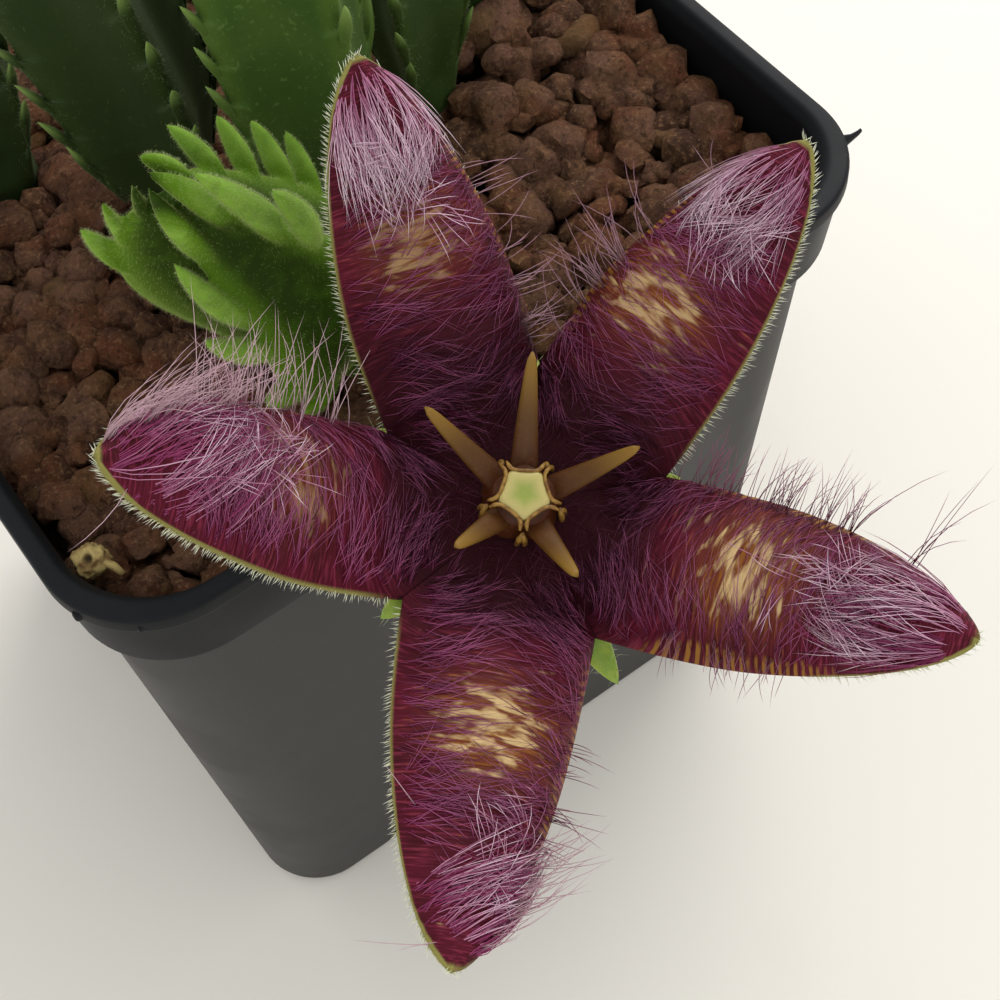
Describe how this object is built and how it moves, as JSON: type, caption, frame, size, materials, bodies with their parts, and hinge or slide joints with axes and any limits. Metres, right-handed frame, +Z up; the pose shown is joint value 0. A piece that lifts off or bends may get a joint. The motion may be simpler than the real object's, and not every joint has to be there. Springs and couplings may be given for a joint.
{
  "type": "potted carrion flower plant",
  "caption": "Square black plastic pot filled with lava gravel, with upright four-angled succulent stems and a large hairy star-shaped flower that hangs over the front rim.",
  "frame": {"origin": "centre of the pot's flat underside", "axes": "+Z up, +X along the pot's front side to the right, +Y from the front side, where the flower hangs, to the back"},
  "size_m": [0.1309, 0.2009, 0.2298],
  "materials": {
    "pot_plastic": "black injection-moulded polypropylene, satin",
    "lava_gravel": "rough porous red-brown lava grains",
    "pale_gravel": "rough pale yellow grain",
    "stem_green": "dark green skin with fine velvet hairs",
    "shoot_green": "bright green skin with fine velvet hairs",
    "calyx_green": "pale green skin with fine hairs",
    "corolla_maroon": "fleshy maroon petals with cream wrinkles and long hairs",
    "corona_tan": "smooth waxy tan",
    "head_cream": "smooth waxy pale yellow-green"
  },
  "bodies": {
    "root": {"pot": "pot_plastic", "soil": "lava_gravel", "pale_grain": "pale_gravel", "stem_left": "stem_green", "stem_middle": "stem_green", "stem_right": "stem_green", "stem_back": "stem_green", "stem_corner": "stem_green", "young_shoot": "shoot_green", "flower_stalk": "calyx_green", "corolla": "corolla_maroon", "corona": "corona_tan", "style_head": "head_cream"}
  },
  "joints": []
}
